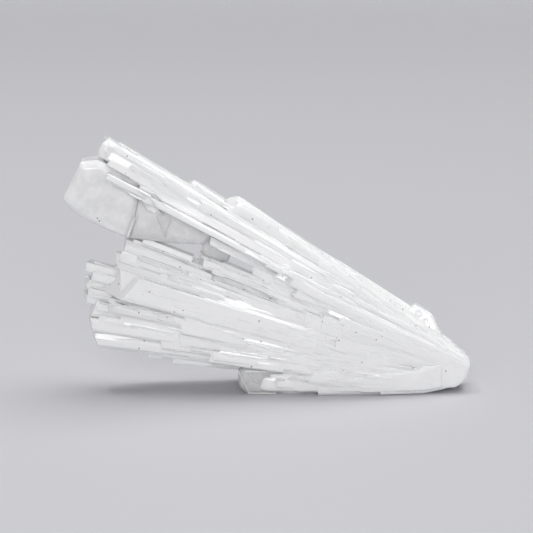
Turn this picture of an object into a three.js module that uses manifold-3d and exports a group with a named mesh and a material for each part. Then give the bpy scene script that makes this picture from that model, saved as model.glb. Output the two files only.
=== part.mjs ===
// A scolecite and apophyllite specimen: a spray of white prismatic crystals that fans out from a broken
// root, forks into an upper bundle and a lower fan, and carries three blocky apophyllite crystals.
// Millimetres, +X towards the broken root, +Y to the back, +Z up, as the specimen rests on its foot.

import * as THREE from 'three';
import { ConvexGeometry } from 'three/addons/geometries/ConvexGeometry.js';
import { mergeVertices } from 'three/addons/utils/BufferGeometryUtils.js';
import Module from 'manifold-3d';

const wasm = await Module();
wasm.setup();

// Driving dimensions of the spray. Every crystal lies on a line that runs from its tip to the root plane.
const ROOT_X = 47; // the root plane, where the lines draw together, just past the broken root
const ROOT_Z = 0.3; // height of the lowest line on the root plane
const ROOT_SHARE = 0.055; // a line's height there grows with its spread by this share
const SPREAD_X = -20; // the plane where a line's spread is read, as its height
const WAIST_X = 13; // the plane where the spray is deepest from front to back
const WAIST_SCATTER = 9; // how far to each side of it a crystal's own deepest place may lie
const TIP_HALF_DEPTH = 6.2; // the spray's half depth on the spread plane
const WAIST_HALF_DEPTH = 9.8; // its half depth on the waist plane
const ROOT_HALF_DEPTH = 3.8; // its half depth on the root plane
const MERGED_SHARE = 0.95; // from the waist on, no crystal stands further out than about this share of it
const MERGED_SCATTER = 0.025; // how much that share differs from crystal to crystal
const ROOT_TAPER = 0.36; // a crystal's thickness at the root, as a share of that at its tip
const CHAMFER = 0.24; // corner cut of a crystal's section, as a share of its thinner side
const JOINT_GAP = 0.3; // clearance between the scolecite and each apophyllite

// Planes that the root was broken and worn along, as [outward normal, a point on the plane]
const BREAKS = [
  [[1, 0, -0.1], [40.4, 0, 4]],
  [[0.61, 0.05, 0.8], [35.8, 0, 9.9]],
  [[0.5, -0.75, -0.45], [40, -3.2, 2.2]],
  [[0.45, 0.8, -0.4], [40, 3.4, 2.2]],
  [[0.17, 0, -0.98], [31, 0, 0.1]],
  [[0, 0, -1], [0, 0, 0]],
];

// A crystal by its tip [x, y, z], wide in the plane of the fan and deep from front to back.
// slant is how far its end reaches ahead for each millimetre up and for each millimetre back,
// roll turns its section in degrees, and plain leaves the section's corners uncut.
const crystal = (tip, wide, deep, options = {}) => ({
  tip, wide, deep, slant: [0, 0], roll: 0, plain: false, ...options,
});

const UPPER_BUNDLE = [
  crystal([-31.7, -1.0, 48.7], 4.0, 5.0, { slant: [0.3, 0.2] }),
  crystal([-31.2, -4.9, 43.3], 1.4, 1.6, { slant: [0.8, 0], plain: true }),
  crystal([-25.4, -2.2, 42.0], 3.2, 4.4, { slant: [0.3, 0.3], roll: 8 }),
  crystal([-23.6, 2.6, 42.4], 4.0, 4.0, { slant: [-0.2, -0.4] }),
  crystal([-19.0, -2.8, 37.8], 3.0, 4.0, { slant: [0.2, 0.4] }),
  crystal([-18.0, 2.8, 37.8], 4.0, 4.0, { slant: [0.3, -0.3], roll: 10 }),
  crystal([-15.6, -1.0, 41.0], 3.0, 4.0, { slant: [-0.5, 0.2], plain: true }),
  crystal([-14.0, 2.0, 35.0], 4.0, 5.0, { slant: [0.2, -0.2] }),
  crystal([-11.8, -4.2, 34.6], 2.4, 2.4, { slant: [0.1, 0.2], plain: true }),
  crystal([-11.4, -2.2, 30.6], 1.6, 3.0, { slant: [0.3, 0.2], plain: true }),
  crystal([-7.8, -1.4, 37.4], 4.4, 5.5, { slant: [-0.6, 0.3] }),
  crystal([-5.0, 3.6, 35.0], 3.6, 4.0, { slant: [-0.2, -0.5], roll: -8 }),
  crystal([-2.6, -3.4, 30.4], 1.8, 4.4, { slant: [0.2, 0.3], plain: true }),
  crystal([6.0, 4.5, 26.2], 4.5, 6.0, { slant: [0.3, -0.4] }),
  crystal([13.2, -0.5, 24.7], 3.2, 5.0, { slant: [-0.5, 0.1], plain: true }),
  crystal([20.6, 1.0, 18.9], 3.2, 5.0, { slant: [-0.4, 0], plain: true }),
];

const LOWER_FAN = [
  crystal([-28.4, -0.5, 28.8], 3.8, 6.0, { slant: [0.1, 0.1] }),
  crystal([-26.4, -1.0, 30.1], 1.2, 3.6, { slant: [0.3, 0], plain: true }),
  crystal([-28.6, -2.0, 26.9], 2.0, 4.0, { plain: true }),
  crystal([-25.2, -3.2, 26.8], 1.6, 2.4, { slant: [0.2, 0.4], plain: true }),
  crystal([-19.0, -4.2, 24.2], 1.6, 2.4, { slant: [0, 0.4], plain: true }),
  crystal([-13.0, -2.0, 26.6], 2.2, 6.0, { slant: [0.2, 0.2], plain: true }),
  crystal([-35.8, 1.8, 24.7], 1.8, 4.6, { slant: [0.2, -0.1], plain: true }),
  crystal([-35.0, 1.0, 23.1], 1.7, 5.6, { slant: [0, 0.1], plain: true }),
  crystal([-36.2, 1.6, 21.5], 1.8, 5.2, { slant: [-0.2, 0.2], plain: true }),
  crystal([-35.6, 0.9, 19.9], 1.7, 6.2, { slant: [0.1, 0], plain: true }),
  crystal([-36.4, 1.2, 18.5], 1.6, 5.0, { slant: [0.3, 0.2], plain: true }),
  crystal([-30.2, 3.0, 26.0], 2.5, 3.0, { slant: [0.2, 0], plain: true }),
  crystal([-29.6, -2.6, 21.8], 5.2, 6.4, { slant: [-0.5, 0.9], plain: true }),
  crystal([-34.8, -0.6, 16.6], 3.2, 5.0, { slant: [-0.2, 0.2] }),
  crystal([-30.8, -4.6, 17.4], 2.0, 2.0, { slant: [0, 0.6], plain: true }),
  crystal([-16.8, -5.4, 14.4], 3.2, 3.0, { slant: [0.2, 0.5] }),
  crystal([-35.1, -2.6, 13.6], 2.6, 4.0, { slant: [0.3, 0.2] }),
  crystal([-34.5, -1.0, 10.4], 3.2, 5.0, { slant: [0.5, 0.2] }),
  crystal([-17.6, -4.6, 11.2], 2.0, 3.0, { slant: [0.2, 0.3], plain: true }),
  crystal([-23.6, -0.5, 7.5], 1.6, 5.0, { slant: [0.3, 0], plain: true }),
  crystal([-18.8, -1.5, 6.4], 1.6, 4.0, { slant: [0.3, 0], plain: true }),
  crystal([-14.2, 1.0, 5.5], 1.4, 5.0, { slant: [0.3, 0], plain: true }),
  crystal([-11.0, -5.8, 7.9], 2.2, 3.5, { slant: [0.2, 0.3] }),
];

const BACK_OF_FAN = [
  crystal([-33.0, 3.6, 17.4], 4.0, 3.5, { slant: [0.3, -0.4] }),
  crystal([-31.0, 2.6, 12.6], 4.0, 4.5, { slant: [0.1, -0.4] }),
  crystal([-27.0, 4.2, 20.6], 3.6, 3.0, { slant: [-0.2, -0.3], plain: true }),
  crystal([-24.0, 4.6, 15.0], 4.0, 3.0, { slant: [0.2, -0.5] }),
  crystal([-20.0, 4.4, 24.4], 3.0, 3.0, { slant: [-0.4, -0.3] }),
  crystal([-15.0, 5.4, 10.4], 3.6, 3.5, { slant: [0.4, -0.3] }),
  crystal([-8.0, 6.4, 20.6], 3.4, 3.0, { slant: [-0.2, -0.4], plain: true }),
  crystal([1.0, 8.0, 15.0], 4.0, 3.0, { slant: [0.1, -0.4], plain: true }),
];

const FOOT = [
  crystal([2.4, -5.2, 2.2], 3.4, 3.0, { slant: [0.2, 0.3] }),
  crystal([1.0, -0.5, 2.4], 6.0, 12.0, { slant: [0.2, 0] }),
  crystal([10.0, -0.5, 1.8], 4.6, 15.0, { slant: [0.2, 0] }),
  crystal([-4.0, 6.0, 2.6], 5.0, 4.0, { slant: [0.3, -0.3] }),
  crystal([6.0, 8.0, 2.2], 4.0, 4.0, { slant: [0.2, -0.4] }),
  crystal([12.0, -6.4, 1.8], 2.6, 2.0, { slant: [0.2, 0.3], plain: true }),
  crystal([22.0, -6.2, 1.4], 2.4, 3.0, { slant: [0.2, 0.3], plain: true }),
];

// Wedges of solid crystal inside the spray: where each starts, the lowest and highest spread it spans,
// and its share of the spray's depth at its start and from the waist on
const WEDGES = [
  { from: -29.0, low: 10.6, high: 22.3, shares: [0.84, 0.9] },
  { from: -21, low: 9.0, high: 25.6, shares: [0.86, 0.9] },
  { from: -8, low: 7.0, high: 26.5, shares: [0.84, 0.9] },
  { from: -2.8, low: 24.0, high: 36.0, shares: [0.5, 0.9] },
  { from: 2, low: 4.5, high: 36.5, shares: [0.7, 0.92] },
];

// Thin crystals that lie on the front (side -1) and the back (side 1): how many, between which places
// their tips lie, their spreads, their widths, and how far they stand out from the depth of the spray
const BLADES = [
  { side: -1, count: 34, from: -18, to: 8, low: 8, high: 25.5, wide: [0.8, 1.9], out: [-1.3, -0.4] },
  { side: -1, count: 24, from: 4, to: 26, low: 6, high: 36, wide: [1.2, 2.8], out: [-0.8, -0.4] },
  { side: 1, count: 24, from: -26, to: 6, low: 7, high: 25.5, wide: [1.4, 3.6], out: [-0.8, 0.3] },
  { side: 1, count: 20, from: 4, to: 30, low: 5, high: 34.5, wide: [2.0, 4.6], out: [-0.6, 0.3] },
];
const BLADE_DEEP = 2.4;
const BLADE_SEED = 11;

// The lump that stands on the back of the root
const KNOB = [
  [27.0, -2.5, 14.5], [27.5, 3.5, 14.5], [29.4, -1.6, 17.0], [29.8, 2.4, 16.6],
  [32.8, -2.0, 15.3], [33.0, 2.2, 14.8], [34.4, -2.8, 12.0], [34.5, 3.0, 11.5],
  [36.0, -3.2, 8.6], [36.0, 3.2, 8.0], [26.0, 0.0, 9.0],
];

// An apophyllite by its outline [x, z] in the plane of the fan, and the depths of its front and back.
// The bevel is how far its front and back faces are set in from the outline.
const END_BLOCK = {
  outline: [
    [-40.2, 39.2], [-36.6, 46.2], [-33.2, 46.6], [-25.0, 43.0], [-25.6, 35.0], [-27.3, 31.0],
    [-29.6, 31.7], [-33.2, 33.8], [-36.0, 34.9], [-38.2, 36.3], [-39.6, 37.9],
  ],
  front: -4.8, back: 5.0, bevel: 1.3,
};
const FORK_BLOCK = {
  outline: [
    [-27.0, 31.2], [-25.3, 35.2], [-24.0, 39.0], [-16.0, 37.0], [-10.6, 32.0],
    [-12.4, 29.6], [-16.5, 30.3], [-20.0, 30.2],
  ],
  front: -4.0, back: 4.2, bevel: 0.9,
};
const FORK_TAIL = {
  outline: [[-13.0, 32.5], [-12.6, 27.4], [-10.4, 26.0], [-7.6, 26.4], [-6.4, 30.0], [-9.0, 33.0]],
  front: -2.6, back: 2.8, bevel: 0.5,
};
const FOOT_BLOCK = {
  outline: [[-5.7, 4.4], [-5.5, 1.6], [-4.2, 0.0], [4.0, 0.0], [4.0, 5.2], [-4.8, 5.3]],
  front: -6.4, back: 3.2, bevel: 0.8,
};

const SCOLECITE_WHITE = '#eceef1';
const APOPHYLLITE_CLEAR = '#dfe4e3';

// The spray's half depth at a place along it
function halfDepth(x) {
  const { lerp } = THREE.MathUtils;
  if (x > WAIST_X) return lerp(WAIST_HALF_DEPTH, ROOT_HALF_DEPTH, (x - WAIST_X) / (ROOT_X - WAIST_X));
  return lerp(TIP_HALF_DEPTH, WAIST_HALF_DEPTH, (x - SPREAD_X) / (WAIST_X - SPREAD_X));
}

// The height of a line of some spread at a place along the spray
function lineHeight(spread, x) {
  const rootHeight = ROOT_Z + ROOT_SHARE * spread;
  return THREE.MathUtils.lerp(spread, rootHeight, (x - SPREAD_X) / (ROOT_X - SPREAD_X));
}

// The spread of the line through a place and height
function spreadOf(x, height) {
  const t = (x - SPREAD_X) / (ROOT_X - SPREAD_X);
  return (height - t * ROOT_Z) / (1 - t * (1 - ROOT_SHARE));
}

// The planes where a crystal that starts at a tip gets a section
function stations(tipX, spread) {
  const waist = WAIST_X + WAIST_SCATTER * Math.sin(9 * spread);
  return tipX < waist - 2 ? [tipX, waist, ROOT_X] : [tipX, ROOT_X];
}

// A crystal's section, as [up, back] corners of a rectangle of half sides w and d
function section(w, d, plain) {
  if (plain) return [[w, d], [-w, d], [-w, -d], [w, -d]];
  const cut = 2 * CHAMFER * Math.min(w, d);
  return [
    [w, d - cut], [w - cut, d], [cut - w, d], [-w, d - cut],
    [-w, cut - d], [cut - w, -d], [w - cut, -d], [w, cut - d],
  ];
}

// The manifold solid of the convex hull of some points
function hullSolid(points) {
  const geometry = new ConvexGeometry(points);
  geometry.deleteAttribute('normal');
  const merged = mergeVertices(geometry, 1e-4);
  return new wasm.Manifold(new wasm.Mesh({
    numProp: 3,
    vertProperties: merged.attributes.position.array,
    triVerts: new Uint32Array(merged.index.array),
  }));
}

// The solid of one crystal: the hull of its sections, the one at the tip with a slanted end.
// Its outer face keeps its share of the spray's depth up to the waist, where it merges with the rest.
function crystalSolid(spec, clearance) {
  const [tipX, tipY, tipZ] = spec.tip;
  const spread = spreadOf(tipX, tipZ);
  const side = Math.sign(tipY);
  const depthShare = (tipY + side * spec.deep / 2) / halfDepth(tipX);
  const merged = MERGED_SHARE + MERGED_SCATTER * Math.sin(7 * spread);
  const along = new THREE.Vector3(ROOT_X - tipX, 0, lineHeight(spread, ROOT_X) - tipZ).normalize();
  const ahead = along.clone().negate();
  const up = new THREE.Vector3(0, 1, 0).cross(ahead).normalize();
  const back = new THREE.Vector3(0, 1, 0);
  const turn = THREE.MathUtils.degToRad(spec.roll);
  const points = [];
  for (const x of stations(tipX, spread)) {
    const scale = THREE.MathUtils.lerp(1, ROOT_TAPER, (x - tipX) / (ROOT_X - tipX));
    const share = x === tipX ? depthShare : side * Math.min(Math.abs(depthShare), merged);
    const y = share * halfDepth(x) - side * (spec.deep / 2) * scale;
    const centre = new THREE.Vector3(x, y, lineHeight(spread, x));
    const w = (spec.wide / 2) * scale + clearance;
    const d = (spec.deep / 2) * scale + clearance;
    for (const [u, v] of section(w, d, spec.plain)) {
      const rise = u * Math.cos(turn) - v * Math.sin(turn);
      const depth = u * Math.sin(turn) + v * Math.cos(turn);
      const reach = x === tipX ? rise * spec.slant[0] + depth * spec.slant[1] + clearance : 0;
      points.push(centre.clone()
        .addScaledVector(up, rise)
        .addScaledVector(back, depth)
        .addScaledVector(ahead, reach));
    }
  }
  return hullSolid(points);
}

// A wedge between two lines
function wedgeSolid({ from, low, high, shares }) {
  const points = [];
  for (const spread of [low, high]) {
    for (const x of stations(from, spread)) {
      const half = (x === from ? shares[0] : shares[1]) * halfDepth(x);
      points.push(new THREE.Vector3(x, -half, lineHeight(spread, x)));
      points.push(new THREE.Vector3(x, half, lineHeight(spread, x)));
    }
  }
  return hullSolid(points);
}

// A repeatable series of numbers between 0 and 1
function seededSeries(seed) {
  let state = seed;
  return () => {
    state = (state * 16807) % 2147483647;
    return state / 2147483647;
  };
}

// The blades of one group, spread evenly from low to high and scattered along the spray
function bladeCrystals(group, random) {
  const between = ([a, b]) => THREE.MathUtils.lerp(a, b, random());
  const blades = [];
  for (let i = 0; i < group.count; i += 1) {
    const spread = THREE.MathUtils.lerp(group.low, group.high, (i + random()) / group.count);
    const x = between([group.from, group.to]);
    const y = group.side * (halfDepth(x) + between(group.out) - BLADE_DEEP / 2);
    blades.push(crystal([x, y, lineHeight(spread, x)], between(group.wide), BLADE_DEEP, {
      slant: [between([-0.4, 0.4]), -group.side * between([0.2, 1.2])],
      plain: true,
    }));
  }
  return blades;
}

// A solid with everything beyond the break planes cut away
function broken(made) {
  return BREAKS.reduce((left, [normal, point]) => {
    const inward = new THREE.Vector3(...normal).normalize().negate();
    return left.trimByPlane(inward.toArray(), inward.dot(new THREE.Vector3(...point)));
  }, made);
}

// The spray: every crystal, made thicker by the clearance, and the wedges, all broken off at the root,
// with the knob
function spraySolid(clearance) {
  const random = seededSeries(BLADE_SEED);
  const blades = BLADES.map((group) => bladeCrystals(group, random));
  const crystals = [UPPER_BUNDLE, LOWER_FAN, BACK_OF_FAN, FOOT, ...blades].flat();
  const grown = wasm.Manifold.union([
    ...crystals.map((spec) => crystalSolid(spec, clearance)),
    ...WEDGES.map(wedgeSolid),
  ]);
  return broken(grown).add(hullSolid(KNOB.map((corner) => new THREE.Vector3(...corner))));
}

// The outline of an apophyllite as a bevelled block
function blockSolid({ outline, front, back, bevel }) {
  const centre = outline.reduce((sum, [x, z]) => [sum[0] + x, sum[1] + z], [0, 0])
    .map((total) => total / outline.length);
  const points = [];
  for (const [x, z] of outline) {
    const [dx, dz] = [x - centre[0], z - centre[1]];
    const share = 1 - bevel / Math.hypot(dx, dz);
    points.push(new THREE.Vector3(x, front + bevel, z), new THREE.Vector3(x, back - bevel, z));
    for (const y of [front, back]) {
      points.push(new THREE.Vector3(centre[0] + dx * share, y, centre[1] + dz * share));
    }
  }
  return hullSolid(points);
}

// The largest body of a solid, which leaves out loose slivers and pores sealed inside it
function largestBody(made) {
  return made.decompose().reduce((a, b) => (b.volume() > a.volume() ? b : a));
}

// A manifold solid as a flat-shaded three.js geometry
function geometryOf(made) {
  const { vertProperties, triVerts } = made.getMesh();
  const indexed = new THREE.BufferGeometry();
  indexed.setAttribute('position', new THREE.BufferAttribute(vertProperties, 3));
  indexed.setIndex(new THREE.BufferAttribute(triVerts, 1));
  const flat = indexed.toNonIndexed();
  flat.computeVertexNormals();
  return flat;
}

function namedMesh(name, made, material) {
  const mesh = new THREE.Mesh(geometryOf(largestBody(made)), material);
  mesh.name = name;
  return mesh;
}

const scolecite = new THREE.MeshStandardMaterial({
  color: SCOLECITE_WHITE, roughness: 0.35, metalness: 0,
});
const apophyllite = new THREE.MeshStandardMaterial({
  color: APOPHYLLITE_CLEAR, roughness: 0.15, metalness: 0, transparent: true, opacity: 0.5,
});

const spray = spraySolid(0);
const sprayWithClearance = spraySolid(JOINT_GAP);
const endBlock = blockSolid(END_BLOCK).subtract(sprayWithClearance);
const forkBlock = blockSolid(FORK_BLOCK).add(blockSolid(FORK_TAIL))
  .subtract(sprayWithClearance)
  .subtract(blockSolid({ ...END_BLOCK, front: END_BLOCK.front - 2, back: END_BLOCK.back + 2 }));
const footBlock = blockSolid(FOOT_BLOCK).subtract(sprayWithClearance);

const specimen = new THREE.Group();
specimen.add(
  namedMesh('scolecite_spray', spray, scolecite),
  namedMesh('apophyllite_end_block', endBlock, apophyllite),
  namedMesh('apophyllite_fork_block', forkBlock, apophyllite),
  namedMesh('apophyllite_foot_block', footBlock, apophyllite),
);

// The origin is the middle of the underside of the specimen's box
const box = new THREE.Box3().setFromObject(specimen);
specimen.position.set(-(box.min.x + box.max.x) / 2, -(box.min.y + box.max.y) / 2, -box.min.z);

export default specimen;
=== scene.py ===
"""The looks of a scolecite and apophyllite specimen, on a pale surface in soft light.

The specimen's lengths are in millimetres, and MM turns them into metres. Those of the floor and the
lights are in metres.
"""

import math
import random

import bmesh
import bpy
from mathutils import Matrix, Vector, noise
from mathutils.bvhtree import BVHTree


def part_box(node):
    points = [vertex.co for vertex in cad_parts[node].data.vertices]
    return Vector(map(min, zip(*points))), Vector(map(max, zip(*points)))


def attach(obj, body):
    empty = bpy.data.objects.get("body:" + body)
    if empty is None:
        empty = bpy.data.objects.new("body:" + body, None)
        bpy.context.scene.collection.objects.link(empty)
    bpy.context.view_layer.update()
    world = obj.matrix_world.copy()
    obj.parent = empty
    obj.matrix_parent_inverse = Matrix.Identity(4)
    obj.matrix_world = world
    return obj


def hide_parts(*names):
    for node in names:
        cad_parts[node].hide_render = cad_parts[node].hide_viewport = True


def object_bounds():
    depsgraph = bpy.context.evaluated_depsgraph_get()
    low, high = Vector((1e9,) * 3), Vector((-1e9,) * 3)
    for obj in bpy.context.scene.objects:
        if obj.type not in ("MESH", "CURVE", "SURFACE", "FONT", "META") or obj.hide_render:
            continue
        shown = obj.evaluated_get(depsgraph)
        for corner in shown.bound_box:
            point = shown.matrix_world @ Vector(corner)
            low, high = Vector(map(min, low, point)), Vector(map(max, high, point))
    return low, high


MM = 0.001
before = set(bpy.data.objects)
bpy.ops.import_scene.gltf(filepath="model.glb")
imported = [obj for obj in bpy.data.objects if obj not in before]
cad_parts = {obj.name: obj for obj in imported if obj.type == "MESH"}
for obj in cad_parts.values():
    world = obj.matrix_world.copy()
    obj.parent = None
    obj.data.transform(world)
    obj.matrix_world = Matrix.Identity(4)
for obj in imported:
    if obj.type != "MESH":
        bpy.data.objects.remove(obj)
cad_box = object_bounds()
random.seed(7)

# Places below are in the millimetres of the specimen's own drawing. The drawing's zero is found from the
# left end and the front of the end block, whose places in the drawing are known.
END_BLOCK_LEFT = -40.2
END_BLOCK_FRONT = -4.8
end_block_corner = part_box("apophyllite_end_block")[0]
ZERO = Vector((end_block_corner.x - END_BLOCK_LEFT * MM, end_block_corner.y - END_BLOCK_FRONT * MM, 0.0))

# Every crystal's line passes through this point, just past the broken root
FOCUS_X = 50.9
FOCUS_Z = 0.32

CAMERA_TILT = math.radians(10)
CAMERA_DISTANCE = 444
CAMERA_LENS = 150
PICTURE_CENTRE_HEIGHT = 24.3

camera_aim = Vector((0, 0, PICTURE_CENTRE_HEIGHT / math.cos(CAMERA_TILT)))
camera_back = Vector((0, -math.cos(CAMERA_TILT), math.sin(CAMERA_TILT)))
camera_up = Vector((0, math.sin(CAMERA_TILT), math.cos(CAMERA_TILT)))
camera_place = camera_aim + camera_back * CAMERA_DISTANCE


def place(x, y, z):
    """A point of the drawing, in metres in the frame."""
    return ZERO + Vector((x, y, z)) * MM


# The solids' box, which the details stay inside
BOX_LOW = (Vector(cad_box[0]) - ZERO) / MM
BOX_HIGH = (Vector(cad_box[1]) - ZERO) / MM


def inside_box(point):
    """The point, or the nearest one to it in the box."""
    return Vector(min(max(value, low), high) for value, low, high in zip(point, BOX_LOW, BOX_HIGH))


def behind_picture(across, above, y):
    """The point of the drawing at a depth y that the camera sees at a place in the picture."""
    return Vector((across, y, above / math.cos(CAMERA_TILT) - y * math.tan(CAMERA_TILT)))


# Seeing the solids. Looks at them start this far off, beside them and above them
BESIDE = 60
ABOVE = 90
FRONT = -1
BACK = 1


class Surface:
    """The surface of some objects, which can be looked at along a straight line."""

    def __init__(self, *objects):
        points = []
        faces = []
        for one in objects:
            first = len(points)
            points += [(v.co - ZERO) / MM for v in one.data.vertices]
            faces += [[first + i for i in p.vertices] for p in one.data.polygons]
        self.tree = BVHTree.FromPolygons(points, faces)

    def depth_at(self, x, z, side):
        """The y where a line from the front or the back meets the surface."""
        point, _, _, _ = self.tree.ray_cast(Vector((x, side * BESIDE, z)), Vector((0, -side, 0)))
        return None if point is None else point.y

    def top_at(self, x, y):
        """The point where a line from above meets the surface."""
        point, _, _, _ = self.tree.ray_cast(Vector((x, y, ABOVE)), Vector((0, 0, -1)))
        return point

    def in_picture(self, across, above):
        """The point that the camera sees at a place in the picture, in millimetres at the specimen:
        across from its middle, and above the line where it stands."""
        target = camera_aim + Vector((across, 0, 0)) + camera_up * (above - PICTURE_CENTRE_HEIGHT)
        point, _, _, _ = self.tree.ray_cast(camera_place, (target - camera_place).normalized())
        return point


# Solids


def add_object(name, data):
    """An object in the scene, for a mesh, a light or a camera."""
    made = bpy.data.objects.new(name, data)
    bpy.context.scene.collection.objects.link(made)
    return made


def mesh_object(name, vertices, faces):
    """An object with its vertices at places of the drawing."""
    mesh = bpy.data.meshes.new(name)
    mesh.from_pydata([tuple(place(*v)) for v in vertices], [], faces)
    mesh.update()
    return add_object(name, mesh)


def apply_modifiers(made):
    """Gives an object the mesh that its modifiers make of it."""
    graph = bpy.context.evaluated_depsgraph_get()
    mesh = bpy.data.meshes.new_from_object(made.evaluated_get(graph))
    made.modifiers.clear()
    made.data = mesh


def closed_copy(node):
    """A copy of a CAD node, with the corners of its faces welded into one closed surface."""
    shape = bmesh.new()
    shape.from_mesh(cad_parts[node].data)
    bmesh.ops.remove_doubles(shape, verts=shape.verts, dist=0.0005 * MM)
    mesh = bpy.data.meshes.new(node)
    shape.to_mesh(mesh)
    shape.free()
    return add_object(node, mesh)


def join_solids(parts):
    """One closed mesh of many that overlap, joined two by two."""
    while len(parts) > 1:
        pairs = list(zip(parts[::2], parts[1::2]))
        for kept, joined in pairs:
            modifier = kept.modifiers.new("join", "BOOLEAN")
            modifier.operation = "UNION"
            modifier.solver = "MANIFOLD"
            modifier.object = joined
        graph = bpy.context.evaluated_depsgraph_get()
        meshes = [bpy.data.meshes.new_from_object(kept.evaluated_get(graph)) for kept, _ in pairs]
        for (kept, joined), mesh in zip(pairs, meshes):
            kept.modifiers.clear()
            kept.data = mesh
            bpy.data.objects.remove(joined)
        parts = [kept for kept, _ in pairs] + (parts[-1:] if len(parts) % 2 else [])
    return parts[0]


# The grain of worn solids, and the waves in their surface: how many to a millimetre, and how high
GRAIN = 0.22
WAVES = [(0.45, 1.0), (1.5, 0.45)]


def worn_solid(name, corners, wear, roughness, dents=()):
    """The hull of some corners, with its edges worn round and its surface moved in and out a little.
    Dents are places with a radius and a depth."""
    made = mesh_object(name, corners, [])
    shape = bmesh.new()
    shape.from_mesh(made.data)
    hull = bmesh.ops.convex_hull(shape, input=shape.verts)
    bmesh.ops.delete(shape, geom=hull["geom_interior"], context="VERTS")
    shape.to_mesh(made.data)
    shape.free()
    remesh = made.modifiers.new("grain", "REMESH")
    remesh.mode = "VOXEL"
    remesh.voxel_size = GRAIN * MM
    smooth = made.modifiers.new("wear", "SMOOTH")
    smooth.factor = 0.5
    smooth.iterations = wear
    apply_modifiers(made)
    normals = [vertex.normal.copy() for vertex in made.data.vertices]
    for vertex, normal in zip(made.data.vertices, normals):
        spot = (vertex.co - ZERO) / MM
        swell = roughness * sum(height * noise.noise(spot * scale) for scale, height in WAVES)
        for centre, radius, depth in dents:
            share = (spot - Vector(centre)).length / radius
            if share < 1:
                swell -= depth * (1 - share * share) ** 2
        vertex.co = place(*inside_box(spot + normal * swell))
    for polygon in made.data.polygons:
        polygon.use_smooth = True
    return made


# The smooth parts of the spray: its root, the knob on its back and the front of its foot
ROOT_CAP = [
    (27.0, -6.4, 1.4), (27.0, -6.4, 8.6), (27.0, 6.0, 2.0), (27.0, 5.8, 8.6),
    (33.6, -5.9, 0.9), (34.0, -5.8, 8.6), (33.6, 5.4, 1.2), (34.0, 5.4, 8.6),
    (37.6, -5.4, 1.0), (38.8, -5.0, 1.7), (39.9, -4.5, 2.7), (39.8, 3.6, 2.6), (38.4, 4.2, 1.2),
    (40.5, -4.7, 5.5), (40.5, 4.0, 5.6), (40.2, -4.2, 6.7), (40.2, 3.4, 6.7),
    (36.0, -3.8, 9.6), (36.0, 3.8, 9.6),
]
KNOB = [
    (27.0, -2.7, 14.7), (27.5, 3.7, 14.7), (29.5, -1.8, 17.3), (29.9, 2.6, 16.9),
    (33.0, -2.2, 15.5), (33.2, 2.4, 15.0), (34.6, -3.0, 12.2), (34.7, 3.2, 11.7),
    (36.2, -3.4, 8.8), (36.2, 3.4, 8.2), (26.0, 0.0, 9.0),
]
# Its pits: the place, radius and depth of each
KNOB_PITS = [((30.4, -2.2, 15.5), 0.9, 0.35), ((31.8, -2.6, 14.1), 0.5, 0.4)]
# The left end of the top crystal
TOP_END = [
    (-31.0, -2.8, 50.8), (-32.4, -2.9, 49.8), (-33.3, -2.6, 48.1), (-32.7, -2.8, 46.9),
    (-30.8, -3.6, 46.2), (-28.0, -3.4, 48.8), (-31.1, 1.0, 50.4), (-32.6, 1.0, 48.6),
    (-33.0, 0.8, 47.4), (-32.0, 1.0, 46.0), (-28.0, 1.0, 47.6), (-28.0, -2.6, 45.4),
]
# The front of the foot, worn round below
FOOT_FRONT = [
    (-2.8, -6.2, 0.9), (-3.0, -6.0, 3.4), (8.0, -7.6, 0.8), (8.0, -7.8, 3.2), (20.0, -8.2, 0.8),
    (20.0, -8.5, 4.2), (30.0, -7.2, 0.9), (30.0, -7.4, 5.0), (35.0, -6.0, 1.2), (35.0, -6.2, 6.0),
    (-2.0, -4.6, 0.1), (8.0, -5.6, 0.1), (20.0, -6.2, 0.1), (30.0, -5.2, 0.1),
    (-2.0, -2.0, 3.0), (8.0, -2.0, 3.0), (20.0, -2.0, 4.0), (34.0, -2.0, 5.0),
]

bulk = join_solids([
    closed_copy("scolecite_spray"),
    worn_solid("root_cap", ROOT_CAP, wear=22, roughness=0.08),
    worn_solid("knob", KNOB, wear=10, roughness=0.06, dents=KNOB_PITS),
    worn_solid("foot_front", FOOT_FRONT, wear=14, roughness=0.12),
    worn_solid("top_end", TOP_END, wear=8, roughness=0.12),
])
apophyllites = [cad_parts[f"apophyllite_{kind}_block"] for kind in ("end", "fork", "foot")]
spray = Surface(bulk)
whole = Surface(bulk, *apophyllites)

# Ledges: thin prisms that lie in a surface and point at the focus

# A prism's bevels take this share of its lift. The upper one is set in by BEVEL_SLOPE times its depth, and
# by BEVEL_MOST of half the width at most. The lower one ends at LOWER_EDGE of half the width
BEVEL_SHARE = 0.7
BEVEL_SLOPE = 0.8
BEVEL_MOST = 0.9
LOWER_EDGE = 0.7
# A ledge's sink is at least this. At its tip it stands this far out from the surface further on, and at its
# end it dips under the surface by this share of its lift
LEDGE_SINK = 1.2
TIP_STAND = 0.3
END_DIP = 1.1
# The shares of its length where the surface below it is looked at
LEDGE_LOOKS = (0.03, 0.3, 0.6, 1.0)
# The largest step in that surface: for scattered ledges, for those that the picture shows, and on top
STEP_LIMIT = 2.4
SEEN_STEP_LIMIT = 4.5
CREST_STEP_LIMIT = 1.2


def towards_focus(x, z):
    """The direction of the crystals' lines at a place."""
    return Vector((FOCUS_X - x, 0, FOCUS_Z - z)).normalized()


def random_slant(across, out_low, out_high):
    """How far a prism's tip reaches forward for each millimetre across it, and out from its middle."""
    return random.uniform(-across, across), random.uniform(out_low, out_high)


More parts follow.
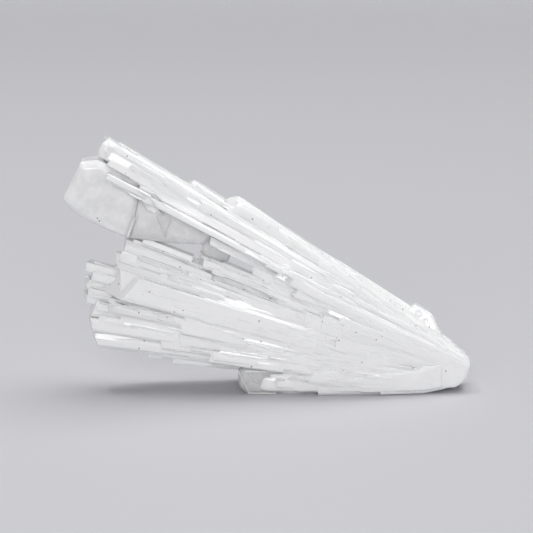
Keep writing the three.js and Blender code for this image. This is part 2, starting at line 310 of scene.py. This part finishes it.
def prism(start, end, up, out, width, lift, sink, slant, tilt):
    """A six-sided prism between two points. It sinks below them, and its outer face is lifted, and tilted
    so that it looks up."""
    half = width / 2
    high_lift = lift * (1 - tilt)
    low_lift = lift * (1 + tilt)
    inset = min(high_lift * BEVEL_SHARE * BEVEL_SLOPE, half * BEVEL_MOST)
    section = [
        (-half, -sink), (-half, low_lift * (1 - BEVEL_SHARE)), (-half * LOWER_EDGE, low_lift),
        (half - inset, high_lift), (half, high_lift * (1 - BEVEL_SHARE)), (half, -sink),
    ]
    along = (end - start).normalized()
    vertices = []
    for centre, at_tip in ((start, 1), (end, 0)):
        for rise, stand in section:
            reach = at_tip * (slant[0] * rise + slant[1] * stand)
            vertices.append(inside_box(centre + up * rise + out * stand + along * reach))
    count = len(section)
    faces = [list(range(count)), [count + i for i in reversed(range(count))]]
    for i in range(count):
        j = (i + 1) % count
        faces.append([j, i, count + i, count + j])
    return vertices, faces


def ledge(surface, tip, side, length, width, lift, tilt, slant=None, step_limit=STEP_LIMIT):
    """A ledge on the front or the back, with its tip at x, z. None where it would hang in the air, which is
    where the surface below it steps by more than the limit."""
    x, z = tip
    toward = towards_focus(x, z)
    depths = []
    for share in LEDGE_LOOKS:
        depths.append(surface.depth_at(x + toward.x * length * share, z + toward.z * length * share, side))
    if None in depths:
        return None
    drop = max(depths) - min(depths)
    if drop > step_limit:
        return None
    start = Vector((x, side * min(side * depths[0], side * depths[1] + TIP_STAND), z))
    end = Vector((x + toward.x * length, depths[-1] - side * lift * END_DIP, z + toward.z * length))
    up = Vector((-toward.z, 0, toward.x))
    if side == BACK:
        up = -up
        tilt = -tilt
    if slant is None:
        slant = random_slant(0.5, -1.2, 0.0)
    return prism(start, end, up, Vector((0, side, 0)), width, lift, max(LEDGE_SINK, drop), slant, tilt)


def crest(x, y, length, width, lift):
    """A ledge on top, with its tip at x, y. None where it would hang in the air."""
    start = spray.top_at(x, y)
    end = spray.top_at(x + length, y)
    if start is None or end is None:
        return None
    fall = (start.z - FOCUS_Z) / (FOCUS_X - x)
    if abs(end.z - start.z + length * fall) > CREST_STEP_LIMIT:
        return None
    along = (end - start).normalized()
    out = Vector((-along.z, 0, along.x))
    slant = random_slant(0.5, -1.0, 0.0)
    tilt = random.uniform(-0.3, 0.3)
    return prism(start, end, Vector((0, 1, 0)), out, width, lift, LEDGE_SINK, slant, tilt)


def scatter_on_top(count):
    """Ledges at random places on top of the spray."""
    made = []
    for _ in range(count):
        shape = crest(
            x=random.uniform(-31, 24),
            y=random.uniform(-5, 5),
            length=random.uniform(4, 18),
            width=random.uniform(0.3, 1.2),
            lift=random.uniform(0.08, 0.3),
        )
        if shape:
            made.append(shape)
    return made


# Scattered ledges lie on lines that pass between these heights at SPREAD_X
SPREAD_X = -20
SPREAD_HEIGHTS = (3, 46)
TRIES = 12


def scatter(count, side, x_range, length, width, lift, keep):
    """Ledges at random places on one side of the spray, where keep allows them. There are fewer of them
    where the tries for each run out."""
    made = []
    tries = 0
    while len(made) < count and tries < TRIES * count:
        tries += 1
        x = random.uniform(*x_range)
        height = random.uniform(*SPREAD_HEIGHTS)
        z = FOCUS_Z + (height - FOCUS_Z) * (FOCUS_X - x) / (FOCUS_X - SPREAD_X)
        if not keep(x, z):
            continue
        thick = random.random() ** 2
        shape = ledge(
            spray, (x, z), side,
            length=random.uniform(*length),
            width=width[0] + (width[1] - width[0]) * thick,
            lift=random.uniform(*lift),
            tilt=random.uniform(-0.2, 0.7),
        )
        if shape:
            made.append(shape)
    return made


# The ledges that the picture shows: across and above give the tip's place in the picture, and tilt is how
# much the outer face looks up
UPPER_LEDGES = [
    # across, above, length, width, lift, tilt
    (-31.1, 46.3, 14.0, 2.0, 0.40, 0.5),
    (-28.8, 47.6, 12.0, 0.9, 0.30, 0.3),
    (-27.0, 44.3, 8.0, 0.9, 0.50, 0.6),
    (-25.8, 42.3, 5.0, 1.5, 0.50, 0.2),
    (-22.6, 41.6, 4.0, 1.1, 0.60, 0.3),
    (-21.8, 40.4, 12.0, 1.4, 0.50, 0.4),
    (-20.2, 42.2, 16.0, 0.7, 0.30, 0.4),
    (-18.2, 41.5, 7.0, 0.5, 0.40, 0.6),
    (-14.6, 41.3, 7.0, 0.8, 0.40, 0.7),
    (-13.0, 36.4, 10.0, 1.0, 0.40, 0.3),
    (-12.0, 33.7, 18.0, 1.7, 0.60, 0.35),
    (-8.0, 36.3, 14.6, 0.8, 0.50, 0.8),
    (-5.8, 38.1, 20.0, 1.2, 0.25, 0.6),
    (-6.0, 29.7, 9.0, 0.8, 0.40, 0.3),
    (-4.0, 27.3, 7.0, 0.5, 0.50, 0.6),
    (-0.8, 26.6, 3.0, 0.4, 0.60, 0.5),
    (4.4, 28.8, 3.0, 1.0, 0.50, 0.2),
    (5.0, 24.7, 13.6, 2.0, 0.45, 0.25),
    (7.8, 23.6, 10.0, 0.6, 0.35, 0.5),
    (11.8, 22.2, 7.0, 0.7, 0.40, 0.7),
    (12.8, 25.6, 6.0, 0.9, 0.25, 0.4),
    (14.8, 22.4, 21.0, 0.8, 0.30, 0.8),
    (15.8, 21.4, 12.0, 0.5, 0.20, 0.6),
    (10.8, 19.6, 17.0, 0.6, 0.25, 0.6),
    (10.4, 16.7, 10.0, 0.7, 0.25, 0.6),
    (17.8, 15.6, 13.0, 0.5, 0.20, 0.6),
]
MIDDLE_LEDGES = [
    (-8.8, 25.2, 10.0, 0.8, 0.50, 0.6),
    (-8.4, 23.2, 4.5, 1.0, 0.50, 0.4),
    (-2.8, 24.9, 5.0, 0.5, 0.60, 0.6),
    (0.0, 24.6, 4.0, 0.7, 0.50, 0.5),
    (2.0, 21.4, 8.0, 0.6, 0.50, 0.5),
    (2.4, 22.8, 12.0, 1.7, 0.50, 0.25),
    (0.4, 20.0, 14.0, 2.4, 0.40, 0.2),
    (0.4, 18.9, 4.0, 0.5, 0.80, 0.6),
    (4.8, 18.4, 5.0, 0.5, 0.60, 0.6),
    (-4.6, 20.4, 3.0, 0.8, 0.50, 0.4),
    (-8.0, 18.9, 4.0, 1.0, 0.50, 0.4),
    (-8.1, 17.7, 15.0, 1.1, 0.40, 0.2),
    (-10.2, 21.2, 7.0, 0.7, 0.45, 0.4),
    (-9.4, 21.6, 3.0, 0.5, 0.60, 0.7),
    (-10.4, 23.4, 2.4, 1.5, 0.70, 0.1),
    (-17.0, 24.0, 6.2, 2.2, 0.25, 0.0),
    (-11.0, 26.2, 9.0, 0.5, 0.50, 0.5),
    (-3.4, 16.0, 16.0, 0.6, 0.20, 0.6),
    (6.0, 14.4, 18.0, 0.7, 0.20, 0.6),
    (8.0, 11.8, 16.0, 0.8, 0.20, 0.5),
]
LOWER_LEDGES = [
    (-28.8, 26.0, 3.1, 2.0, 0.50, 0.3),
    (-25.2, 26.2, 8.6, 0.8, 0.60, 0.8),
    (-25.2, 24.9, 6.0, 0.9, 0.60, 0.6),
    (-19.1, 23.2, 5.0, 1.1, 0.60, 0.6),
    (-19.2, 22.1, 4.6, 0.6, 0.70, 0.7),
    (-28.8, 17.9, 16.5, 0.5, 0.50, 0.8),
    (-30.4, 15.6, 13.4, 0.8, 0.60, 0.8),
    (-33.4, 16.2, 2.0, 1.4, 0.80, 0.4),
    (-21.4, 14.3, 3.4, 1.3, 0.70, 0.4),
    (-27.0, 12.6, 9.0, 0.4, 0.30, 0.6),
    (-16.8, 12.2, 13.0, 2.8, 0.40, 0.15),
    (-14.8, 7.9, 3.6, 0.8, 0.50, 0.6),
    (-11.2, 6.3, 14.6, 1.9, 0.40, 0.2),
    (-5.2, 7.0, 6.0, 0.3, 0.30, 0.7),
    (-3.2, 8.5, 8.0, 0.5, 0.30, 0.5),
    (0.8, 6.6, 12.0, 0.6, 0.25, 0.5),
    (4.0, 8.0, 4.4, 0.8, 0.50, 0.8),
    (-34.2, 25.2, 4.0, 0.6, 0.30, 0.6),
    (-36.0, 20.9, 4.2, 0.6, 0.30, 0.6),
]
FOOT_LEDGES = [
    (4.8, 2.0, 8.2, 0.5, 0.50, 0.9),
    (2.4, 1.8, 1.4, 0.4, 0.50, 0.8),
    (15.8, 2.7, 6.0, 0.4, 0.30, 0.8),
    (10.8, 0.6, 7.0, 0.4, 0.30, 0.6),
    (2.2, 0.9, 3.2, 1.8, 0.50, 0.2),
    (7.0, 3.1, 9.0, 0.5, 0.30, 0.5),
    (14.0, 1.4, 9.0, 0.6, 0.25, 0.5),
    (32.8, 3.8, 1.6, 0.3, 0.20, 0.6),
]
# The scolecite needle and grains that lie on the apophyllite
BLOCK_LEDGES = [
    (-31.2, 42.0, 8.6, 1.3, 0.60, 0.3),
    (-30.4, 41.0, 6.0, 0.5, 0.50, 0.3),
    (-24.2, 37.6, 2.4, 1.2, 0.50, 0.2),
    (-23.4, 36.2, 2.6, 1.0, 0.60, 0.3),
    (-22.6, 38.4, 1.8, 0.9, 0.50, 0.4),
    (-22.0, 35.4, 1.6, 0.8, 0.50, 0.5),
]
# Crystals that stand in the gaps between others, with the depth of their front
GAP_CRYSTALS = [
    # across, above, y, length, width, lift, tilt
    (-29.4, 24.6, -4.5, 11.0, 1.3, 0.50, 0.7),
    (-30.3, 17.1, -5.1, 15.0, 0.9, 0.40, 0.7),
    (-31.2, 17.6, -4.6, 17.0, 1.0, 0.40, 0.6),
    (-33.4, 13.3, -3.9, 16.6, 2.8, 0.50, 0.1),
    (-33.8, 10.5, -3.3, 15.0, 1.5, 0.40, 0.3),
    (-30.8, 44.7, -4.4, 14.0, 1.5, 0.40, 0.5),
    (-31.2, 42.0, -5.5, 9.4, 1.3, 0.30, 0.4),
    (-26.4, 42.3, -4.2, 8.0, 2.0, 0.50, 0.2),
    (-22.4, 41.0, -4.4, 12.0, 1.2, 0.40, 0.5),
    (-24.4, 29.4, -3.0, 10.4, 1.4, 0.30, 0.3),
    (-24.5, 28.7, -3.9, 9.6, 0.35, 0.35, 0.8),
    (-28.8, 26.6, -3.9, 3.2, 2.0, 0.40, 0.3),
]
# Thin white ribs that don't follow the crystals' lines: edges of the clear blocks, and the rim of the foot
RIBS = [
    # across and above of one end, then of the other, the depth, width, lift
    (-5.6, 3.6, -3.6, -0.7, -6.4, 0.35, 0.30),
    (-3.4, 3.0, -2.0, 1.2, -6.4, 0.30, 0.30),
    (-3.6, -0.9, 2.0, -1.0, -6.5, 0.35, 0.25),
    (-26.1, 33.8, -27.4, 30.2, -4.5, 0.55, 0.40),
    (-21.6, 34.2, -20.0, 30.2, -4.0, 0.25, 0.20),
    (-18.9, 33.4, -20.0, 30.2, -4.0, 0.25, 0.20),
    (-31.4, 42.2, -23.2, 37.8, -5.6, 0.25, 0.25),
]
# A round white grain where the two upper apophyllites meet
WHITE_GRAIN = [
    (-24.5, -4.3, 38.6), (-23.4, -4.9, 39.3), (-21.6, -4.9, 38.6), (-20.7, -4.4, 37.0), (-22.0, -4.9, 36.2),
    (-23.6, -4.7, 36.8), (-22.6, -5.3, 37.8),
    (-24.4, -3.0, 38.4), (-20.8, -3.0, 37.2), (-22.5, -3.0, 39.0), (-22.6, -3.0, 36.2),
]
# Rows of beads: short prisms one behind another, from a tip, with how many and how long each is
BEAD_ROWS = [
    # across, above, count, length, width, lift
    (-29.6, 16.9, 9, 1.2, 0.45, 0.55),
    (-12.6, 26.4, 10, 1.0, 0.40, 0.60),
    (-8.0, 24.4, 9, 1.1, 0.40, 0.60),
    (0.4, 23.8, 5, 1.2, 0.40, 0.60),
]


def seen_ledges(surface, rows):
    """The ledges of a list, each laid where the camera sees its tip."""
    made = []
    for across, above, length, width, lift, tilt in rows:
        tip = surface.in_picture(across, above)
        slant = random_slant(0.3, -0.8, -0.2)
        if tip is None:
            continue
        shape = ledge(surface, (tip.x, tip.z), FRONT, length, width, lift, tilt, slant, SEEN_STEP_LIMIT)
        if shape:
            made.append(shape)
    return made


# How far crystals in gaps reach back behind their front, and ribs behind theirs
GAP_CRYSTAL_SINK = 3.0
RIB_SINK = 0.8


def deep_crystal(across, above, y, length, width, lift, tilt):
    """A crystal that starts at a place in the picture and a depth, and runs towards the focus."""
    tip = behind_picture(across, above, y)
    toward = towards_focus(tip.x, tip.z)
    end = tip + toward * length
    up = Vector((-toward.z, 0, toward.x))
    out = Vector((0, FRONT, 0))
    return prism(tip, end, up, out, width, lift, GAP_CRYSTAL_SINK, random_slant(0.3, -0.8, -0.2), tilt)


def rib(across, above, end_across, end_above, y, width, lift):
    """A thin rib at a depth, between two places in the picture."""
    start = behind_picture(across, above, y)
    end = behind_picture(end_across, end_above, y)
    out = Vector((0, FRONT, 0))
    up = (end - start).cross(out).normalized()
    return prism(start, end, up, out, width, lift, RIB_SINK, slant=(0, -0.5), tilt=0.2)


def bead_row(across, above, count, length, width, lift):
    """A row of beads, from a place in the picture towards the focus."""
    made = []
    tip = spray.in_picture(across, above)
    if tip is None:
        return made
    toward = towards_focus(tip.x, tip.z)
    for i in range(count):
        x = tip.x + toward.x * length * i
        z = tip.z + toward.z * length * i + random.uniform(-0.1, 0.1)
        shape = ledge(
            spray, (x, z), FRONT,
            length=length * random.uniform(0.6, 1.1),
            width=width * random.uniform(0.7, 1.3),
            lift=lift * random.uniform(0.6, 1.2),
            tilt=0.5,
        )
        if shape:
            made.append(shape)
    return made


# Where the root begins on the front and on the back, and the share of ledges that plain faces keep
FRONT_ROOT = 26
BACK_ROOT = 24
PLAIN_SHARE = 0.1


def plain_zone(x, z):
    """True on the broad plain faces, which have few ledges: the big prism, the face below it, the root."""
    big_prism = -29.5 < x < -10 and 16.5 - (x + 29) * 0.13 < z < 24 - (x + 29) * 0.3
    below_it = -35 < x < -19 and 10.5 < z < 15.6
    return big_prism or below_it or x > FRONT_ROOT


def front_keep(x, z):
    """True for places off the plain faces, and for a few on them."""
    return not plain_zone(x, z) or random.random() < PLAIN_SHARE


def back_keep(x, _):
    """True for places off the root."""
    return x < BACK_ROOT


SCATTERS = [
    # count, side, range of x, of length, of width, of lift, where they may lie
    (200, FRONT, (-37, 24), (3, 16), (0.25, 0.8), (0.08, 0.26), front_keep),
    (140, FRONT, (-14, 34), (8, 26), (0.25, 0.9), (0.05, 0.14), front_keep),
    (260, BACK, (-37, 34), (3, 24), (0.25, 1.3), (0.05, 0.25), back_keep),
]

shapes = seen_ledges(spray, UPPER_LEDGES + MIDDLE_LEDGES + LOWER_LEDGES + FOOT_LEDGES)
for row in BEAD_ROWS:
    shapes += bead_row(*row)
shapes += [deep_crystal(*row) for row in GAP_CRYSTALS]
for row in SCATTERS:
    shapes += scatter(*row)
shapes += scatter_on_top(160)
ledges = [mesh_object(f"ledge_{i}", *shape) for i, shape in enumerate(shapes)]

scolecite = join_solids([bulk] + ledges)
scolecite.name = "scolecite_crystals"

grain_shapes = seen_ledges(whole, BLOCK_LEDGES) + [rib(*row) for row in RIBS]
grains = [mesh_object(f"grain_{i}", *shape) for i, shape in enumerate(grain_shapes)]
grains = join_solids([worn_solid("white_grain", WHITE_GRAIN, wear=6, roughness=0.2)] + grains)
grains.name = "scolecite_grains"

# The apophyllites: blocks with worn edges and a slightly uneven surface, grown into the spray. Their
# outlines are places in x and z

END_BLOCK = [
    (END_BLOCK_LEFT, 39.2), (-36.6, 46.2), (-33.2, 46.6), (-25.0, 43.0), (-25.6, 35.0), (-27.3, 31.0),
    (-29.6, 31.7), (-33.2, 33.8), (-36.0, 34.9), (-38.2, 36.3), (-39.6, 37.9),
]
FORK_BLOCK = [
    (-27.5, 31.0), (-27.0, 35.2), (-25.4, 39.0), (-16.0, 37.6), (-10.0, 32.0),
    (-12.4, 29.6), (-16.5, 30.3), (-20.0, 30.0),
]
FORK_TAIL = [(-13.0, 32.5), (-12.6, 27.4), (-10.4, 26.0), (-7.6, 26.2), (-6.0, 30.0), (-9.0, 33.0)]
FOOT_BLOCK = [(-5.7, 4.4), (-5.5, 1.6), (-4.2, 0.0), (4.0, 0.0), (4.0, 5.2), (-4.8, 5.3)]


def block(name, outline, front, back, bevel, wear, roughness):
    """A bevelled block between two depths, worn and slightly uneven."""
    centre_x = sum(x for x, _ in outline) / len(outline)
    centre_z = sum(z for _, z in outline) / len(outline)
    points = []
    for x, z in outline:
        share = 1 - bevel / math.hypot(x - centre_x, z - centre_z)
        inner_x = centre_x + (x - centre_x) * share
        inner_z = centre_z + (z - centre_z) * share
        points += [(x, front + bevel, z), (x, back - bevel, z)]
        points += [(inner_x, front, inner_z), (inner_x, back, inner_z)]
    return worn_solid(name, points, wear, roughness)


end_block = block("milky_block", END_BLOCK, END_BLOCK_FRONT, 5.0, bevel=1.3, wear=6, roughness=0.07)
fork_block = block("clear_fork_block", FORK_BLOCK, -4.0, 4.2, bevel=0.9, wear=2, roughness=0.02)
fork_tail = block("clear_fork_tail", FORK_TAIL, -2.6, 2.8, bevel=0.5, wear=2, roughness=0.03)
foot_block = block("clear_foot_block", FOOT_BLOCK, -6.4, 3.2, bevel=0.8, wear=5, roughness=0.04)

# Materials


class Nodes:
    """A material's node tree, with short ways to add nodes."""

    def __init__(self, name):
        self.material = bpy.data.materials.new(name)
        self.material.use_nodes = True
        self.tree = self.material.node_tree
        self.shader = self.tree.nodes["Principled BSDF"]

    def add(self, kind, **settings):
        node = self.tree.nodes.new(kind)
        for key, value in settings.items():
            setattr(node, key, value)
        return node

    def link(self, source, target):
        self.tree.links.new(source, target)

    def math(self, operation, a, b=None):
        node = self.add("ShaderNodeMath", operation=operation)
        for socket, value in zip(node.inputs, (a, b)):
            if value is None:
                continue
            if isinstance(value, (int, float)):
                socket.default_value = value
            else:
                self.link(value, socket)
        return node.outputs[0]

    def remap(self, value, before, after):
        """A value moved from one range to another, and kept inside it."""
        node = self.add("ShaderNodeMapRange")
        self.link(value, node.inputs["Value"])
        for key, number in zip(("From Min", "From Max", "To Min", "To Max"), (*before, *after)):
            node.inputs[key].default_value = number
        return node.outputs[0]

    def noise(self, vector, scale, detail=3.0, roughness=0.5):
        node = self.add("ShaderNodeTexNoise")
        self.link(vector, node.inputs["Vector"])
        node.inputs["Scale"].default_value = scale
        node.inputs["Detail"].default_value = detail
        node.inputs["Roughness"].default_value = roughness
        return node.outputs["Fac"]

    def mix_colour(self, factor, a, b):
        node = self.add("ShaderNodeMix", data_type="RGBA")
        self.link(factor, node.inputs[0])
        for socket, value in ((node.inputs[6], a), (node.inputs[7], b)):
            if isinstance(value, tuple):
                socket.default_value = (*value, 1)
            else:
                self.link(value, socket)
        return node.outputs[2]

    def bump(self, height, strength, distance):
        node = self.add("ShaderNodeBump")
        node.inputs["Strength"].default_value = strength
        node.inputs["Distance"].default_value = distance
        self.link(height, node.inputs["Height"])
        self.link(node.outputs[0], self.shader.inputs["Normal"])

    def specks(self, point, spacing, size, share):
        """1 on small round specks, 0 elsewhere. They are at a share of the places that are one spacing
        apart."""
        cells = self.add("ShaderNodeTexVoronoi")
        self.link(point, cells.inputs["Vector"])
        cells.inputs["Scale"].default_value = 1 / spacing
        near = self.math("LESS_THAN", cells.outputs["Distance"], size / spacing)
        parts = self.add("ShaderNodeSeparateColor")
        self.link(cells.outputs["Color"], parts.inputs[0])
        return self.math("MULTIPLY", near, self.math("LESS_THAN", parts.outputs[0], share))


# Coordinates that run along the crystals' lines are spread across them, and drawn out along them
LINES_ACROSS = 60
LINES_ALONG = 0.04


def crystal_coordinates(nodes):
    """The place on the object in millimetres, coordinates that run along the crystals' lines, and the
    distance to the focus."""
    texture = nodes.add("ShaderNodeTexCoord")
    scaled = nodes.add("ShaderNodeVectorMath", operation="SCALE")
    nodes.link(texture.outputs["Object"], scaled.inputs[0])
    scaled.inputs["Scale"].default_value = 1 / MM
    split = nodes.add("ShaderNodeSeparateXYZ")
    nodes.link(scaled.outputs[0], split.inputs[0])
    ahead = nodes.math("SUBTRACT", FOCUS_X + ZERO.x / MM, split.outputs["X"])
    above = nodes.math("SUBTRACT", split.outputs["Z"], FOCUS_Z)
    angle = nodes.math("ARCTAN2", above, ahead)
    squared = nodes.math("ADD", nodes.math("MULTIPLY", ahead, ahead), nodes.math("MULTIPLY", above, above))
    radius = nodes.math("SQRT", squared)
    lines = nodes.add("ShaderNodeCombineXYZ")
    nodes.link(nodes.math("MULTIPLY", angle, LINES_ACROSS), lines.inputs["X"])
    nodes.link(split.outputs["Y"], lines.inputs["Y"])
    nodes.link(nodes.math("MULTIPLY", radius, LINES_ALONG), lines.inputs["Z"])
    return scaled.outputs[0], lines.outputs[0], radius


def scolecite_material():
    """White crystal with fine lines and small specks, a little clearer at the tips far from the focus."""
    nodes = Nodes("scolecite")
    point, lines, radius = crystal_coordinates(nodes)
    shader = nodes.shader
    broad = nodes.noise(lines, 0.5, detail=2)
    fine = nodes.noise(lines, 2.6, roughness=0.6)
    cloud = nodes.noise(point, 0.12)
    tone = nodes.math("ADD", nodes.math("MULTIPLY", broad, 0.6), nodes.math("MULTIPLY", cloud, 0.4))
    share = nodes.remap(tone, (0.35, 0.65), (0, 1))
    colour = nodes.mix_colour(share, (0.97, 0.971, 0.976), (0.996, 0.996, 0.998))
    specks = nodes.specks(point, spacing=2.0, size=0.15, share=0.8)
    nodes.link(nodes.mix_colour(specks, colour, (0.25, 0.26, 0.26)), shader.inputs["Base Color"])
    nodes.link(nodes.remap(fine, (0.3, 0.7), (0.14, 0.28)), shader.inputs["Roughness"])
    nodes.link(nodes.remap(radius, (70, 92), (0, 0.06)), shader.inputs["Transmission Weight"])
    shader.inputs["Subsurface Weight"].default_value = 1
    shader.inputs["Subsurface Radius"].default_value = (1, 1, 1)
    shader.inputs["Subsurface Scale"].default_value = 0.9 * MM
    shader.inputs["IOR"].default_value = 1.51
    shader.inputs["Coat Weight"].default_value = 0.5
    shader.inputs["Coat Roughness"].default_value = 0.08
    nodes.bump(fine, 0.12, 0.03 * MM)
    return nodes.material


def apophyllite_material(name, clear, milky, colour):
    """Clear is how much light goes straight through between the veils, and milky how much in them."""
    nodes = Nodes(name)
    point, _, _ = crystal_coordinates(nodes)
    shader = nodes.shader
    veil = nodes.noise(point, 0.35, detail=4, roughness=0.6)
    fine = nodes.noise(point, 2.2)
    body = nodes.mix_colour(nodes.remap(veil, (0.4, 0.65), (0, 1)), colour, (0.99, 0.99, 0.995))
    specks = nodes.specks(point, spacing=2.6, size=0.16, share=0.3)
    nodes.link(nodes.mix_colour(specks, body, (0.3, 0.32, 0.32)), shader.inputs["Base Color"])
    nodes.link(nodes.remap(veil, (0.42, 0.66), (clear, milky)), shader.inputs["Transmission Weight"])
    nodes.link(nodes.remap(fine, (0.35, 0.7), (0.06, 0.22)), shader.inputs["Roughness"])
    shader.inputs["Subsurface Weight"].default_value = 1
    shader.inputs["Subsurface Radius"].default_value = (1, 1, 1)
    shader.inputs["Subsurface Scale"].default_value = 2 * MM
    shader.inputs["IOR"].default_value = 1.535
    absorption = nodes.add("ShaderNodeVolumeAbsorption")
    absorption.inputs["Color"].default_value = (0.9, 0.93, 0.93, 1)
    absorption.inputs["Density"].default_value = 1
    output = nodes.tree.nodes["Material Output"]
    nodes.link(absorption.outputs[0], output.inputs["Volume"])
    nodes.bump(fine, 0.1, 0.05 * MM)
    return nodes.material


def finish_piece(piece, material, replaced=None):
    """The piece's material, its body and slot, and the node that it stands for."""
    piece.data.materials.clear()
    piece.data.materials.append(material)
    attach(piece, "root")
    if replaced:
        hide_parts(replaced)


scolecite_white = scolecite_material()
milky = apophyllite_material("milky_apophyllite", 0.18, 0.08, (0.97, 0.972, 0.976))
clear = apophyllite_material("clear_apophyllite", 0.38, 0.24, (0.97, 0.975, 0.975))
finish_piece(scolecite, scolecite_white, "scolecite_spray")
finish_piece(grains, scolecite_white)
finish_piece(end_block, milky, "apophyllite_end_block")
finish_piece(fork_block, clear, "apophyllite_fork_block")
finish_piece(fork_tail, clear)
finish_piece(foot_block, clear, "apophyllite_foot_block")

# Floor: a wide round sweep, flat under the specimen and curved up far away. Its curve starts at FLOOR_FLAT
# from the middle, has the radius FLOOR_CURVE, and ends at a slope of FLOOR_BEND degrees

FLOOR_MIDDLE = 0.3
FLOOR_FLAT = 1.2
FLOOR_CURVE = 1.2
FLOOR_BEND = 45
RINGS = 24
SEGMENTS = 96
# The floor's colour has a painted light falloff, darker far from the specimen: the y of its lightest point,
# and its colours at some distances from there
FLOOR_PAINTED_LIGHT_CENTRE = -0.1
FLOOR_PAINTED_FALLOFF_TONES = [
    (0.0, (0.565, 0.565, 0.586)),
    (0.24, (0.53, 0.53, 0.55)),
    (1.0, (0.485, 0.485, 0.504)),
]


def floor_sweep():
    """The floor: a disc in the middle, and rings of four-sided faces round it."""
    profile = [(FLOOR_MIDDLE, 0), (FLOOR_FLAT, 0)]
    for i in range(1, RINGS + 1):
        bend = math.radians(FLOOR_BEND) * i / RINGS
        profile.append((FLOOR_FLAT + FLOOR_CURVE * math.sin(bend), FLOOR_CURVE * (1 - math.cos(bend))))
    vertices = [(0, 0, 0)]
    for radius, height in profile:
        for k in range(SEGMENTS):
            turn = 2 * math.pi * k / SEGMENTS
            vertices.append((radius * math.cos(turn), radius * math.sin(turn), height))
    faces = []
    for k in range(SEGMENTS):
        faces.append((0, 1 + k, 1 + (k + 1) % SEGMENTS))
    for ring in range(len(profile) - 1):
        inner = 1 + ring * SEGMENTS
        outer = inner + SEGMENTS
        for k in range(SEGMENTS):
            n = (k + 1) % SEGMENTS
            faces.append((inner + k, outer + k, outer + n, inner + n))
    mesh = bpy.data.meshes.new("floor")
    mesh.from_pydata(vertices, [], faces)
    for polygon in mesh.polygons:
        polygon.use_smooth = True
    return add_object("floor", mesh)


def floor_material():
    """Matt paper with a painted light falloff: its colour darkens with the distance from its lightest
    point.
    """
    nodes = Nodes("floor")
    texture = nodes.add("ShaderNodeTexCoord")
    distance = nodes.add("ShaderNodeVectorMath", operation="DISTANCE")
    nodes.link(texture.outputs["Object"], distance.inputs[0])
    distance.inputs[1].default_value = (0, FLOOR_PAINTED_LIGHT_CENTRE, 0)
    # Painted light falloff: the ramp darkens the floor's colour away from its lightest point
    tone = nodes.add("ShaderNodeValToRGB")
    nodes.link(distance.outputs["Value"], tone.inputs[0])
    tones = tone.color_ramp.elements
    tones.new(FLOOR_PAINTED_FALLOFF_TONES[1][0])
    for element, (place_in_ramp, colour) in zip(tones, FLOOR_PAINTED_FALLOFF_TONES):
        element.position = place_in_ramp
        element.color = (*colour, 1)
    nodes.link(tone.outputs[0], nodes.shader.inputs["Base Color"])
    nodes.shader.inputs["Roughness"].default_value = 0.8
    return nodes.material


floor = floor_sweep()
floor.data.materials.append(floor_material())

# Camera and light

camera = add_object("camera", bpy.data.cameras.new("camera"))
camera.data.lens = CAMERA_LENS
camera.data.clip_start = 0.01
camera.data.clip_end = 20
camera.location = place(*camera_place)
camera.rotation_euler = (math.radians(90) - CAMERA_TILT, 0, 0)
bpy.context.scene.camera = camera


def turned_from(source):
    """The rotation of a light that shines from a place or a direction to the specimen."""
    return (-Vector(source)).to_track_quat("-Z", "Y").to_euler()


def sun_light(name, source, angle, strength):
    """A soft light that comes from a direction, the same all over the floor."""
    data = bpy.data.lights.new(name, "SUN")
    data.angle = math.radians(angle)
    data.energy = strength
    made = add_object(name, data)
    made.rotation_euler = turned_from(source)


def round_light(name, source, diameter, power):
    """A round panel light at a place above the specimen, turned to it."""
    data = bpy.data.lights.new(name, "AREA")
    data.shape = "DISK"
    data.size = diameter
    data.energy = power
    made = add_object(name, data)
    made.location = source
    made.rotation_euler = turned_from(source)


sun_light("top", (0.24, 0.26, 1.0), angle=56, strength=1.9)
sun_light("front", (-0.1, -1.0, 0.32), angle=36, strength=1.75)
round_light("panel", (-0.35, 0.15, 1.0), diameter=0.16, power=1.5)

world = bpy.data.worlds.new("world")
world.use_nodes = True
background = world.node_tree.nodes["Background"]
background.inputs["Color"].default_value = (0.97, 0.97, 1.0, 1)
background.inputs["Strength"].default_value = 0.22
bpy.context.scene.world = world
bpy.context.scene.view_settings.view_transform = "Standard"
